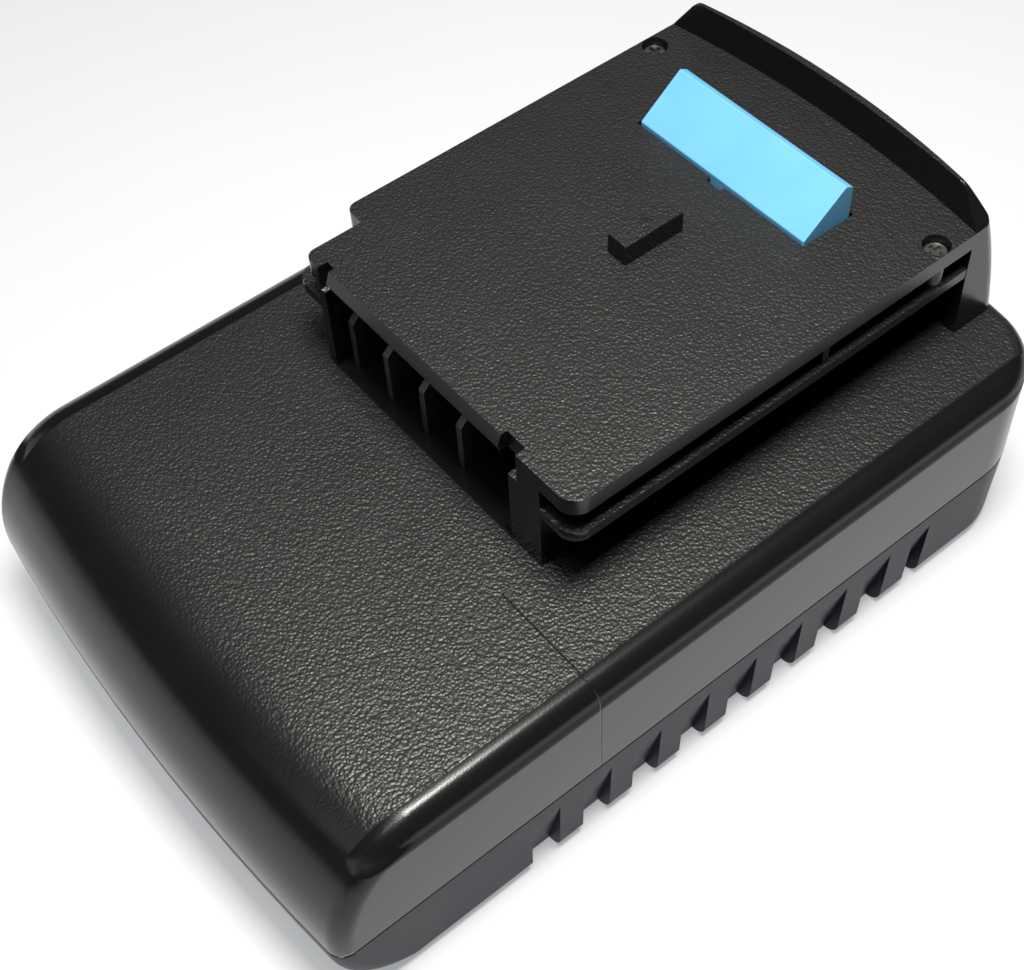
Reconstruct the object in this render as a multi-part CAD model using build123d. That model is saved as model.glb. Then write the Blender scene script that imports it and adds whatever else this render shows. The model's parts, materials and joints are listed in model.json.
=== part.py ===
"""Slide-on battery pack for a cordless tool: five cells in one row, two moulded housings and a sprung latch.

Lengths are in millimetres and +Z is up. The origin is on the surface that the pack stands on, under its
middle. +X is to the right, and +Y points to the end that has the latch.
"""

import os
from math import cos, pi, radians, sin, sqrt, tan

from build123d import *

# Cells
cell_count = 5
cell_radius = 9.2
cell_length = 65.0
cell_gap = 0.4
cell_edge_radius = 0.8
button_radius = 2.9
button_height = 0.25
cell_clearance = 0.1
cell_floor_gap = 0.8
cell_cover = 1.1

# Walls round the cells
floor = 2.0
wall = 2.1
rim_wall = 3.5
grip_wall = 3.525
row_end_room = 9.25
board_thickness = 1.6
board_room = 3.3
parting_height = 13.5
overrun = 1.0

# Upper housing: the rolled front end, drafted sides and rounded edges
front_bow_depth = 2.15
back_bow_depth = 3.0
roll_length = 12.7
side_draft_angle = 0.6
edge_round = 2.3
back_corner_radius = 10.5
reveal_height = 0.3
reveal_depth = 0.4

# Lower housing: rounded front end, grooved grip sides and the lip that the upper housing drops over
lower_draft_angle = 1.5
lower_front_radius = 14.6
cavity_back_radius = 5.0
lip_height = 1.5
lip_clearance = 0.1
groove_count = 9
groove_pitch = 7.6
groove_width = 4.1
last_groove_width = 2.9
groove_middle_y = 3.5
groove_depth = 2.3
groove_top_drop = 2.3

# Hooks on the front of the lower housing
hook_width = 8.0
hook_pitch = 18.0
hook_thickness = 1.3
hook_height = 3.6
hook_nib = 0.7
hook_nib_height = 1.2
hook_clearance = 0.15

# Rail tower, measured from the latch end, from the body's top and from the tower's own sides
tower_length = 70.25
tower_height = 16.3
tower_half_width = 25.76
flange_reach = 5.46
flange_thickness = 2.4
rib_drop = 5.6
rib_thickness = 1.4
tower_corner_radius = 2.4
cut_back_width = 3.29
cut_back_length = 8.2
cut_back_radius = 1.4
tower_wall = 2.0
plate_thickness = 2.4
rail_web_run = 37.4
rail_web_thickness = 1.0
rail_web_inset = 0.5

# Raised rear wall of the tower
rim_height = 4.9
rim_setback = 9.85
rim_bow_depth = 2.25
rim_end_inset = 3.46
rim_end_radius = 1.9
rear_foot_setback = 0.35
rear_foot_spread = 0.49
rear_middle_lean = 3.2
rear_middle_drop = 2.6
rear_top_lean = 3.1
rear_bow_depth = 2.8
rear_foot_bow_depth = 2.2
rear_corner_radius = 1.8
rear_round_share = 0.85

# Terminal bay and the front edge of the plate
bay_left_wall = 1.3
bay_right_wall = 5.3
bay_depth = 16.8
bay_roof = 2.6
bay_back_wall = 2.0
bevel_height = 1.7
bevel_depth = 0.6
lip_step_height = 0.9
lip_step_depth = 0.35
notch_left_reach = 1.6
notch_right_reach = 1.5
notch_depth = 1.4
notch_height = 4.6
corner_notch_width = 1.4
corner_notch_depth = 0.8
foot_width = 1.5
foot_height = 2.6

# Bar on the plate
bar_left_x = 0.25
bar_width = 3.06
bar_latch_gap = 8.9
bar_length = 8.8
bar_height = 2.87
bar_round = 0.25
ring_outer_radius = 0.85
ring_inner_radius = 0.55
ring_depth = 0.12

# Latch
latch_setback = 18.25
latch_depth = 7.5
latch_rise = 5.0
latch_crest_width = 1.3
latch_crest_drop = 0.7
latch_crest_radius = 0.7
latch_edge_radius = 0.25
slot_clearance = 0.3
slot_nub_width = 2.4
slot_nub_depth = 0.7
carriage_front_reach = 2.7
carriage_back_reach = 3.6
carriage_height = 5.6
carriage_clearance = 0.1
arm_inset = 1.7
apron_side_room = 1.9
apron_thickness = 1.1
apron_setback = 0.8
apron_height = 13.0
pad_inset = 1.2
pad_height = 9.0
pad_drop = 1.8
pad_stand = 2.0
pad_round = 0.8
pad_ridge_count = 3
pad_ridge_pitch = 2.2
pad_ridge_depth = 0.5
pad_ridge_width = 0.9
window_clearance = 0.4
window_sill = 0.3

# Latch chamber inside the tower, and what closes it
apron_clearance = 0.3
chamber_rear_lean = 3.0
spring_inset = 5.0
spring_setback = 2.5
spring_turns = 4
spring_side_count = 6
spring_mean_radius = 2.6
spring_wire_width = 0.6
spring_pocket_depth = 1.4
spring_pocket_clearance = 0.4
spring_post_radius = 1.7
spring_post_height = 2.4
retainer_thickness = 1.8
retainer_clearance = 0.2
retainer_length = 26.8
retainer_apron_gap = 0.3
retainer_boss_side_inset = 2.7
retainer_boss_front_inset = 3.2
retainer_boss_back_inset = 2.4
retainer_boss_radius = 2.3

# Screws
screw_side_count = 16
screw_hole_clearance = 0.06
recess_arm_share = 0.62
recess_slot_share = 0.2
recess_depth_share = 0.5
rail_screw_side_inset = 1.76
rail_screw_setback = 4.6
rail_screw_head_radius = 1.5
rail_screw_head_height = 0.9
rail_screw_sink = 0.9
rail_screw_shank_radius = 0.8
rail_screw_length = 4.9
rail_recess_clearance = 0.2
rail_boss_radius = 1.45
retainer_screw_head_radius = 2.0
retainer_screw_head_height = 1.3
retainer_screw_shank_radius = 1.1
retainer_screw_length = 8.0
case_screw_side_inset = 9.6
case_screw_back_inset = 5.95
case_screw_head_radius = 2.7
case_screw_head_height = 2.0
case_screw_shank_radius = 1.45
case_screw_length = 17.0
case_screw_sink = 5.0
case_recess_clearance = 0.4
case_boss_radius = 3.2
case_boss_foot_radius = 4.2
case_boss_foot_height = 7.0

# Holders, straps and sheets round the cells
holder_depth = 12.4
holder_end_wall = 0.8
holder_floor_clearance = 0.1
holder_end_chamfer = 6.2
holder_boss_clearance = 0.3
ring_side_count = 32
ring_washer_margin = 0.8
ring_washer_hole = 3.6
ring_washer_thickness = 0.25
strap_thickness = 0.3
strap_height = 10.0
strap_end_reach = 5.0
strap_tab_width = 5.0
strap_tab_reach = 6.4
sheet_thickness = 0.2
sheet_rise = 0.1
sheet_margin = 0.8
side_clearance = 0.15
foam_height = 10.0
foam_lift = 1.4
foam_clearance = 0.15

# Board and what it carries
board_side_inset = 4.4
board_front_inset = 7.7
board_back_inset = 3.7
board_corner_radius = 2.0
blade_count = 4
blade_pitch = 7.0
blade_side_inset = 1.4
blade_thickness = 1.0
blade_setback = 1.9
blade_length = 9.4
blade_rise = 8.7
blade_chamfer = 1.4
blade_slot_clearance = 0.15
tail_width = 2.0
tail_inset = 1.2
tail_clearance = 0.1
tail_stand = 0.9
block_margin = 2.2
block_clearance = 0.15
transistor_side_inset = 10.2
transistor_spacing = 8.6
transistor_front_inset = 18.0
transistor_width = 6.6
transistor_length = 6.1
transistor_height = 2.3
transistor_tab_thickness = 0.5
transistor_tab_reach = 1.0
transistor_lead_width = 0.8
transistor_lead_reach = 2.6
transistor_lead_pitch = 4.6
chip_left_inset = 16.0
chip_block_gap = 18.0
chip_width = 5.3
chip_length = 10.2
chip_height = 1.7
chip_pin_count = 10
chip_pin_width = 0.35
chip_pin_pitch = 0.95
chip_pin_reach = 1.2
chip_pin_thickness = 0.2
shunt_right_inset = 16.0
shunt_back_inset = 36.0
shunt_width = 6.4
shunt_length = 3.2
shunt_height = 0.7
shunt_chamfer = 0.23
thermistor_right_inset = 20.0
thermistor_radius = 0.5
thermistor_length = 2.4
thermistor_lead_radius = 0.2
thermistor_lead_pitch = 1.6
board_screw_side_inset = 4.5
board_screw_head_radius = 1.9
board_screw_head_height = 1.2
board_screw_shank_radius = 0.9
board_screw_length = 4.6

# Cells in their row, worked out from the sizes above
cell_pitch = 2 * cell_radius + cell_gap
cell_z = floor + cell_floor_gap + cell_radius
cell_end_x = cell_length / 2
row_half_length = cell_pitch * (cell_count - 1) / 2
cell_places = [cell_pitch * index - row_half_length for index in range(cell_count)]
holder_half_length = row_half_length + cell_radius + cell_clearance + holder_end_wall
holder_bottom_z = floor + holder_floor_clearance
holder_top_z = cell_z + cell_radius + cell_cover
holder_outer_x = cell_end_x - cell_clearance
holder_inner_x = holder_outer_x - holder_depth
strap_x = cell_end_x + ring_washer_thickness
sheet_x = strap_x + strap_thickness + side_clearance / 2
board_top_z = holder_top_z + board_thickness
board_half_width = holder_outer_x - board_side_inset
board_front_y = board_front_inset - holder_half_length
board_back_y = holder_half_length - board_back_inset

# Housings round the row of cells
cavity_half_width = sheet_x + sheet_thickness + side_clearance
half_width = cavity_half_width + grip_wall
back_y = holder_half_length + row_end_room
front_y = -back_y
parting_z = parting_height
inner_top_z = board_top_z + board_room
body_top_z = inner_top_z + wall
roll_height = body_top_z - parting_z
bow_radius = (half_width * half_width + front_bow_depth * front_bow_depth) / (2 * front_bow_depth)
first_groove_y = groove_middle_y - groove_pitch * (groove_count - 1) / 2
case_screw_x = half_width - case_screw_side_inset
case_screw_y = back_y - case_screw_back_inset
case_screw_seat_z = case_screw_sink

# Tower on the body's top
plate_top_z = body_top_z + tower_height
rim_top_z = plate_top_z + rim_height
tower_front_y = back_y - tower_length
wall_base_y = back_y - rim_setback
flange_bottom_z = plate_top_z - flange_thickness
rib_top_z = plate_top_z - rib_drop
rib_bottom_z = rib_top_z - rib_thickness
neck_half_width = tower_half_width - flange_reach
cut_back_half_width = tower_half_width - cut_back_width
cut_back_y = tower_front_y + cut_back_length
rail_web_y = tower_front_y + rail_web_run
rim_end_half_width = tower_half_width - rim_end_inset
rear_foot_half_width = tower_half_width + rear_foot_spread
rear_foot_y = back_y - rear_foot_setback
rear_middle_y = rear_foot_y - rear_middle_lean
rear_top_y = rear_middle_y - rear_top_lean
rear_middle_z = plate_top_z - rear_middle_drop
rail_screw_x = tower_half_width - rail_screw_side_inset
rail_screw_y = wall_base_y - rail_screw_setback

# Terminal bay and its blades
bay_left_x = bay_left_wall - neck_half_width
bay_right_x = neck_half_width - bay_right_wall
bay_roof_z = plate_top_z - bay_roof
bay_back_y = tower_front_y + bay_depth
notch_left_x = bay_right_x - notch_left_reach
notch_right_x = bay_right_x + notch_right_reach
blade_x = [bay_left_x + blade_side_inset + blade_pitch * index for index in range(blade_count)]
blade_front_y = tower_front_y + blade_setback
blade_top_z = body_top_z + blade_rise

# Latch, its chamber, springs and retainer
chamber_half_width = neck_half_width - tower_wall
chamber_front_y = bay_back_y + bay_back_wall
chamber_top_z = plate_top_z - plate_thickness
apron_front_y = wall_base_y + apron_setback
chamber_rear_top_y = apron_front_y + apron_thickness + apron_clearance
chamber_rear_foot_y = chamber_rear_top_y + chamber_rear_lean
apron_half_width = chamber_half_width - apron_side_room
pad_half_width = apron_half_width - pad_inset
latch_half_width = pad_half_width - pad_inset
arm_half_width = latch_half_width - arm_inset
latch_back_y = back_y - latch_setback
latch_front_y = latch_back_y - latch_depth
carriage_back_y = latch_back_y + carriage_back_reach
bar_front_y = latch_front_y - bar_latch_gap - bar_length
spring_x = latch_half_width - spring_inset
spring_y = latch_back_y - spring_setback
retainer_back_y = apron_front_y - retainer_apron_gap
retainer_front_y = retainer_back_y - retainer_length
retainer_boss_x = chamber_half_width - retainer_boss_side_inset
retainer_boss_front_y = retainer_front_y + retainer_boss_front_inset
retainer_boss_back_y = retainer_back_y - retainer_boss_back_inset
retainer_top_z = body_top_z - reveal_height / 2
retainer_bottom_z = retainer_top_z - retainer_thickness
carriage_top_z = chamber_top_z - carriage_clearance
carriage_bottom_z = carriage_top_z - carriage_height
spring_bottom_z = retainer_top_z
spring_top_z = carriage_bottom_z + spring_pocket_depth
pad_top_z = rear_middle_z + pad_drop / 2
pad_bottom_z = pad_top_z - pad_height

# Places on the board
chip_x = chip_left_inset - board_half_width
chip_y = blade_front_y + blade_length + chip_block_gap
shunt_x = board_half_width - shunt_right_inset
shunt_y = board_back_y - shunt_back_inset
thermistor_x = board_half_width - thermistor_right_inset
thermistor_y = cell_places[cell_count // 2]
transistor_y = board_front_y + transistor_front_inset
transistor_x = [board_half_width - transistor_side_inset - transistor_spacing * index for index in (1, 0)]
board_screw_x = board_half_width - board_screw_side_inset
board_screw_y = row_half_length - cell_pitch / 2


def block(x_range, y_range, z_range):
    """Plain box between two corners."""
    size_x = x_range[1] - x_range[0]
    size_y = y_range[1] - y_range[0]
    size_z = z_range[1] - z_range[0]
    centre = Pos((x_range[0] + x_range[1]) / 2, (y_range[0] + y_range[1]) / 2, (z_range[0] + z_range[1]) / 2)
    return centre * Box(size_x, size_y, size_z)


def span(middle, width):
    """The two ends of a width round its middle."""
    return (middle - width / 2, middle + width / 2)


def post(radius, x, y, z_range):
    """Upright cylinder between two heights."""
    height = z_range[1] - z_range[0]
    return Pos(x, y, (z_range[0] + z_range[1]) / 2) * Cylinder(radius, height)


def side_profile(points, reach):
    """Prism whose outline is drawn in Y and Z, and which runs from -reach to reach along X."""
    outline = make_face(Polyline(*[(y, z) for y, z in points], close=True))
    return extrude(Plane.YZ * outline, amount=reach, both=True)


def plan_outline(width, back, corner_radius, height):
    """Outline of the pack from above at one height: straight sides, bowed back and round back corners."""
    front = front_y - overrun
    end = back - back_bow_depth
    front_edge = Line((-width, front), (width, front))
    right_edge = Line((width, front), (width, end))
    back_edge = ThreePointArc((width, end), (0, back), (-width, end))
    left_edge = Line((-width, end), (-width, front))
    outline = make_face([front_edge, right_edge, back_edge, left_edge])
    return Pos(0, 0, height) * fillet(outline.vertices().group_by(Axis.Y)[-1], corner_radius)


def front_disc(profile):
    """Disc far wider than the pack, whose rim has a profile in X and Z. Its rim is the bowed front end."""
    return Pos(0, front_y + bow_radius, 0) * revolve(Plane.XZ * make_face(profile), axis=Axis.Z)


def biarc(start, start_tangent, end, end_tangent):
    """Two arcs that join smoothly and lead from one point and direction to another."""
    chord = end - start
    tangents = start_tangent + end_tangent
    bend = 2 * (1 - start_tangent.dot(end_tangent))
    along = chord.dot(tangents)
    reach = (sqrt(along * along + bend * chord.dot(chord)) - along) / bend
    first_pole = start + start_tangent * reach
    last_pole = end - end_tangent * reach
    middle = (first_pole + last_pole) * 0.5
    middle_tangent = (last_pole - first_pole).normalized()
    return [TangentArc(start, middle, tangent=start_tangent), TangentArc(middle, end, tangent=middle_tangent)]


def upper_front(inset, low_z):
    """Disc with the rolled front end of the upper housing as its rim, one inset inside it."""
    top_z = body_top_z - inset
    rim = bow_radius - inset
    start = bow_radius - roll_length
    roll = biarc(Vector(rim, parting_z), Vector(0, 1), Vector(start, top_z), Vector(-1, 0))
    ends = Polyline((start, top_z), (0, top_z), (0, low_z), (rim, low_z), (rim, parting_z))
    return front_disc([*roll, ends])


def front_lean(height):
    """How far the lower housing's rounded front has come in at a height below the parting line."""
    drop = parting_z - height
    return lower_front_radius - sqrt(lower_front_radius * lower_front_radius - drop * drop)


def lower_front(inset, low_z, high_z):
    """Disc with the rounded front end of the lower housing as its rim, one inset inside it."""
    rim = bow_radius - inset
    middle_z = (low_z + parting_z) / 2
    foot = (rim - front_lean(low_z), low_z)
    curve = ThreePointArc(foot, (rim - front_lean(middle_z), middle_z), (rim, parting_z))
    ends = Polyline((rim, parting_z), (rim, high_z), (0, high_z), (0, low_z), foot)
    return front_disc([curve, ends])


def crown():
    """Outer form of the upper housing without its tower: rolled front, drafted sides and rounded edges."""
    outline = plan_outline(half_width, back_y, back_corner_radius, parting_z)
    solid = extrude(outline, amount=roll_height, taper=side_draft_angle) & upper_front(0, parting_z - overrun)
    edges = solid.edges().filter_by(lambda edge: edge.center().Z > parting_z + overrun)
    edges = edges.filter_by(lambda edge: not edge_is_seam(edge))
    return fillet(edges, edge_round)


def edge_is_seam(edge):
    """True for the smooth joins: where the roll meets the flat top, and the upright lines at the back."""
    box = edge.bounding_box()
    across_front = box.size.X > half_width and edge.center().Y < 0
    upright = box.size.Z > box.size.X + box.size.Y
    at_back = edge.center().Y > 0
    return across_front or (upright and at_back)


def crown_cavity():
    """Hollow of the upper housing, one wall inside its outer form and open at the parting line."""
    outline = plan_outline(half_width - wall, back_y - wall, back_corner_radius - wall, parting_z)
    drafted = extrude(outline, amount=roll_height - wall, taper=side_draft_angle)
    mouth = extrude(outline, amount=-overrun)
    return (drafted + mouth) & upper_front(wall, parting_z - overrun)


def plate_outline():
    """Outline of the tower's plate, with its left flange cut back near the front."""
    corners = [
        (tower_half_width, tower_front_y),
        (tower_half_width, wall_base_y + overrun),
        (-tower_half_width, wall_base_y + overrun),
        (-tower_half_width, cut_back_y),
        (-cut_back_half_width, cut_back_y),
        (-cut_back_half_width, tower_front_y),
    ]
    outline = make_face(Polyline(*corners, close=True))
    rounds = [
        (tower_half_width, tower_front_y, tower_corner_radius),
        (-cut_back_half_width, tower_front_y, cut_back_radius),
        (-tower_half_width, cut_back_y, cut_back_radius),
    ]
    for x, y, radius in rounds:
        outline = fillet(outline.vertices().sort_by_distance((x, y))[0], radius)
    return outline


def rib_outline():
    """Outline of the lower ribs, which run to the front on both sides."""
    middle_y = (tower_front_y + wall_base_y + overrun) / 2
    outline = Pos(0, middle_y) * Rectangle(2 * tower_half_width, wall_base_y + overrun - tower_front_y)
    return fillet(outline.vertices().group_by(Axis.Y)[0], tower_corner_radius)


def rear_outline(width, middle_y, bow, height):
    """Outline of the tower's rear block at one height: straight in front and bowed behind."""
    end_y = middle_y - bow
    front_edge = Line((-width, wall_base_y), (width, wall_base_y))
    right_edge = Line((width, wall_base_y), (width, end_y))
    back_edge = ThreePointArc((width, end_y), (0, middle_y), (-width, end_y))
    left_edge = Line((-width, end_y), (-width, wall_base_y))
    outline = make_face([front_edge, right_edge, back_edge, left_edge])
    reach = min(rear_corner_radius, (end_y - wall_base_y) * rear_round_share)
    outline = fillet(outline.vertices().group_by(Axis.Y)[-1], reach)
    return Pos(0, 0, height) * outline


def rear_block():
    """Rear block of the tower, which leans forward as it rises and ends in the thin raised wall."""
    foot = rear_outline(rear_foot_half_width, rear_foot_y, rear_foot_bow_depth, inner_top_z)
    middle = rear_outline(tower_half_width, rear_middle_y, rear_foot_bow_depth, rear_middle_z)
    top = rear_outline(tower_half_width, rear_top_y, rear_bow_depth, rim_top_z)
    solid = loft([foot, middle, top])
    ends = [
        (-rear_foot_half_width - overrun, inner_top_z - overrun),
        (rear_foot_half_width + overrun, inner_top_z - overrun),
        (rear_foot_half_width + overrun, plate_top_z),
        (tower_half_width, plate_top_z),
        (rim_end_half_width, rim_top_z),
        (-rim_end_half_width, rim_top_z),
        (-tower_half_width, plate_top_z),
        (-rear_foot_half_width - overrun, plate_top_z),
    ]
    face = make_face(Polyline(*ends, close=True))
    face = fillet(face.vertices().group_by(Axis.Y)[-1], rim_end_radius)
    front_view = extrude(Plane.XZ * face, amount=-(rear_foot_y + overrun))
    inner = ThreePointArc(
        (tower_half_width + overrun, wall_base_y),
        (0, wall_base_y + rim_bow_depth),
        (-tower_half_width - overrun, wall_base_y),
    )
    chord = Line(inner @ 1, inner @ 0)
    scoop = extrude(Pos(0, 0, plate_top_z) * make_face([inner, chord]), amount=rim_top_z)
    return (solid & front_view) - scoop


def tower_body():
    """Outer form of the rail tower: neck, lower ribs, plate with its flanges, rear block and bar."""
    neck = block(
        (-neck_half_width, neck_half_width),
        (tower_front_y, wall_base_y + overrun),
        (inner_top_z, flange_bottom_z + overrun / 2),
    )
    ribs = extrude(Pos(0, 0, rib_bottom_z) * rib_outline(), amount=rib_thickness)
    plate = extrude(Pos(0, 0, flange_bottom_z) * plate_outline(), amount=flange_thickness)
    bar = block(
        (bar_left_x, bar_left_x + bar_width),
        (bar_front_y, bar_front_y + bar_length),
        (plate_top_z - overrun, plate_top_z + bar_height),
    )
    bar = fillet(bar.edges().group_by(Axis.Z)[-1], bar_round)
    ring_x = bar_left_x + bar_width / 2
    ring_y = bar_front_y + bar_length / 2
    ring_top = plate_top_z + bar_height
    ring = post(ring_outer_radius, ring_x, ring_y, (ring_top - ring_depth, ring_top + overrun))
    ring -= post(ring_inner_radius, ring_x, ring_y, (ring_top - ring_depth, ring_top + overrun))
    body = neck + ribs + plate + rear_block() + (bar - ring)
    for side in (-1, 1):
        near = neck_half_width - overrun
        web_x = sorted((side * near, side * (tower_half_width - rail_web_inset)))
        web_y = span(rail_web_y, rail_web_thickness)
        body += block(web_x, web_y, (rib_top_z - rib_thickness / 2, flange_bottom_z + flange_thickness / 2))
        boss_x = sorted((side * near, side * rail_screw_x))
        boss_y = span(rail_screw_y, 2 * rail_boss_radius)
        boss_z = (rib_top_z - rib_thickness / 2, flange_bottom_z + flange_thickness / 2)
        body += block(boss_x, boss_y, boss_z)
        body += post(rail_boss_radius, side * rail_screw_x, rail_screw_y, boss_z)
    return body


def bay_cuts():
    """Cuts in the tower's front: the bay, the plate's bevel and lip, the notches and the blades' slots."""
    front = tower_front_y - overrun
    bay = block((bay_left_x, bay_right_x), (front, bay_back_y), (body_top_z, bay_roof_z))
    foot = block((bay_right_x - foot_width, bay_right_x), (tower_front_y + lip_step_depth, bay_back_y),
                 (body_top_z, body_top_z + foot_height))
    foot = chamfer(foot.edges().group_by(Axis.Z)[-1].sort_by(Axis.Y)[0], foot_width)
    lip_z = bay_roof_z + lip_step_height
    bevel = side_profile(
        [
            (front, plate_top_z + overrun),
            (tower_front_y + bevel_depth, plate_top_z + overrun),
            (tower_front_y + bevel_depth, plate_top_z),
            (tower_front_y, plate_top_z - bevel_height),
            (front, plate_top_z - bevel_height),
        ],
        -bay_left_x,
    )
    bevel &= block((bay_left_x, notch_left_x), (front, bay_back_y), (parting_z, rim_top_z + overrun))
    lip_y = (front, tower_front_y + lip_step_depth)
    lip = block((bay_left_x, bay_right_x), lip_y, (bay_roof_z - overrun, lip_z))
    notch_back = tower_front_y + notch_depth
    notch = block((notch_left_x, notch_right_x), (front, notch_back), (plate_top_z - notch_height, rim_top_z))
    corner_back = tower_front_y + corner_notch_depth + bevel_depth
    corner = block(span(bay_left_x, corner_notch_width), (front, corner_back), (bay_roof_z - overrun, rim_top_z))
    cuts = [bay - foot, bevel, lip, notch, corner]
    for x in blade_x:
        reach = blade_thickness / 2 + blade_slot_clearance
        slot_y = (blade_front_y - blade_slot_clearance, blade_front_y + blade_length + blade_slot_clearance)
        cuts.append(block((x - reach, x + reach), slot_y, (inner_top_z - overrun, body_top_z + overrun)))
    return cuts


def chamber():
    """Latch chamber under the plate, open to the inside of the housing."""
    floor_z = inner_top_z - overrun
    return side_profile(
        [
            (chamber_front_y, floor_z),
            (chamber_front_y, chamber_top_z),
            (chamber_rear_top_y, chamber_top_z),
            (chamber_rear_foot_y, body_top_z),
            (chamber_rear_foot_y, floor_z),
        ],
        chamber_half_width,
    )


def latch_openings():
    """Slot in the plate for the wedge, and window in the rear face for the thumb pad."""
    slot_x = latch_half_width + slot_clearance
    slot_y = (latch_front_y - slot_clearance, latch_back_y + slot_clearance)
    slot = block((-slot_x, slot_x), slot_y, (chamber_top_z - overrun, plate_top_z + overrun))
    nub_y = (slot_y[0] - slot_nub_depth, latch_front_y)
    nub = block(span(0, slot_nub_width), nub_y, (chamber_top_z - overrun, plate_top_z + overrun))
    window_x = pad_half_width + window_clearance
    window_z = (body_top_z + window_sill, pad_top_z + window_clearance)
    window = block((-window_x, window_x), (apron_front_y, back_y + overrun), window_z)
    return [slot, nub, window]


def screw_places(x, *y_places):
    """Mirrored pairs of places at the given distances along Y."""
    return [(side * x, y) for y in y_places for side in (-1, 1)]


def screw(head_radius, head_height, shank_radius, length):
    """Pan-head screw with a cross recess. Its head sits on the XY plane and its shank points down."""
    head = extrude(RegularPolygon(head_radius, screw_side_count), amount=head_height)
    head = chamfer(head.edges().group_by(Axis.Z)[-1], head_height * recess_slot_share)
    shank = extrude(RegularPolygon(shank_radius, screw_side_count), amount=-length)
    shank = chamfer(shank.edges().group_by(Axis.Z)[0], shank_radius * recess_depth_share)
    depth = head_height * recess_depth_share
    arm = 2 * head_radius * recess_arm_share
    slot = 2 * head_radius * recess_slot_share
    recess = Pos(0, 0, head_height - depth / 2) * (Box(arm, slot, depth) + Box(slot, arm, depth))
    return head + shank - recess


def upper_housing():
    """Moulded upper half with the rail tower in one piece."""
    outer = crown()
    body = outer + tower_body() - crown_cavity() - chamber()
    for cut in bay_cuts():
        body -= cut
    for cut in latch_openings():
        body -= cut
    band_z = (parting_z - overrun, parting_z + reveal_height)
    band = block((-half_width - overrun, half_width + overrun), (front_y - overrun, back_y + overrun), band_z)
    core = plan_outline(half_width - reveal_depth, back_y - reveal_depth, back_corner_radius, band_z[0])
    body -= band - (extrude(core, amount=overrun + reveal_height) & lower_front(reveal_depth, *band_z))
    boss_top = chamber_top_z + plate_thickness / 2
    for x, y in screw_places(retainer_boss_x, retainer_boss_front_y, retainer_boss_back_y):
        body += post(retainer_boss_radius, x, y, (retainer_top_z, boss_top))
        pilot = retainer_screw_shank_radius + screw_hole_clearance
        body -= post(pilot, x, y, (retainer_top_z - overrun, retainer_top_z + retainer_screw_length))
    for x, y in screw_places(case_screw_x, case_screw_y):
        boss = post(case_boss_radius, x, y, (parting_z + reveal_height, body_top_z)) & outer
        pilot = case_screw_shank_radius + screw_hole_clearance
        body += boss
        body -= post(pilot, x, y, (parting_z - overrun, case_screw_seat_z + case_screw_length + overrun))
    for x, y in screw_places(rail_screw_x, rail_screw_y):
        sink = rail_screw_sink + rail_screw_head_height
        pocket = rail_screw_head_radius + rail_recess_clearance
        body -= post(pocket, x, y, (plate_top_z - sink, plate_top_z + overrun))
        pilot = rail_screw_shank_radius + screw_hole_clearance
        seat = plate_top_z - sink
        body -= post(pilot, x, y, (seat - rail_screw_length, seat + overrun))
    for x in hook_places():
        body -= hook_pocket(x)
    return body


def lower_form():
    """Outer form of the lower housing, rounded along its bottom edge and its two front edges."""
    outline = plan_outline(half_width, back_y, back_corner_radius, parting_z)
    solid = extrude(outline, amount=parting_z, dir=(0, 0, -1), taper=lower_draft_angle)
    solid &= lower_front(0, 0, parting_z + overrun)
    front_sides = solid.edges().filter_by(lambda edge: edge.center().Y < 0 < edge.center().Z < parting_z)
    bottom = solid.edges().group_by(Axis.Z)[0]
    return fillet(bottom + front_sides, edge_round)


def grip_groove(side, y, width):
    """One grip groove: nothing at its top, deepest where it runs out under the bottom edge."""
    top_z = parting_z - groove_top_drop
    slope = groove_depth / top_z
    outer_x = half_width + overrun
    surface_x = half_width - groove_top_drop * tan(radians(lower_draft_angle))
    profile = [
        (outer_x, top_z + overrun * 2 / (1 + slope)),
        (surface_x, top_z),
        (surface_x - groove_depth - overrun * slope, -overrun),
        (outer_x, -overrun),
    ]
    face = make_face(Polyline(*[(side * x, z) for x, z in profile], close=True))
    groove = extrude(Plane.XZ * face, amount=width / 2, both=True)
    return Pos(0, y, 0) * groove


def hook_places():
    """Places along X of the three hooks on the front wall."""
    return [hook_pitch * index for index in (-1, 0, 1)]


def hook_face_y(x):
    """Outer face of the hook at a place along X, clear of the upper housing's rolled front wall."""
    far_x = abs(x) + hook_width / 2
    lift = hook_height / (roll_height - wall)
    inner_radius = bow_radius - wall - (roll_length - wall) * (1 - sqrt(1 - lift * lift))
    return front_y + bow_radius - sqrt(inner_radius * inner_radius - far_x * far_x) + lip_clearance


def hook(x):
    """Upright tongue on the lower housing with a nib that catches in the upper housing's front wall."""
    outer_y = hook_face_y(x)
    top_z = parting_z + hook_height
    nib_z = top_z - hook_nib_height
    profile = [
        (outer_y, parting_z - floor),
        (outer_y, nib_z),
        (outer_y - hook_nib, nib_z),
        (outer_y, top_z),
        (outer_y + hook_thickness, top_z),
        (outer_y + hook_thickness, parting_z - floor),
    ]
    return Pos(x, 0, 0) * side_profile(profile, hook_width / 2)


def hook_pocket(x):
    """Room for a hook's nib in the upper housing's front wall."""
    outer_y = hook_face_y(x)
    top_z = parting_z + hook_height + hook_clearance
    nib_z = parting_z + hook_height - hook_nib_height - hook_clearance
    y_range = (outer_y - hook_nib - hook_clearance, outer_y + wall)
    return block(span(x, hook_width + 2 * hook_clearance), y_range, (nib_z, top_z))


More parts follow.
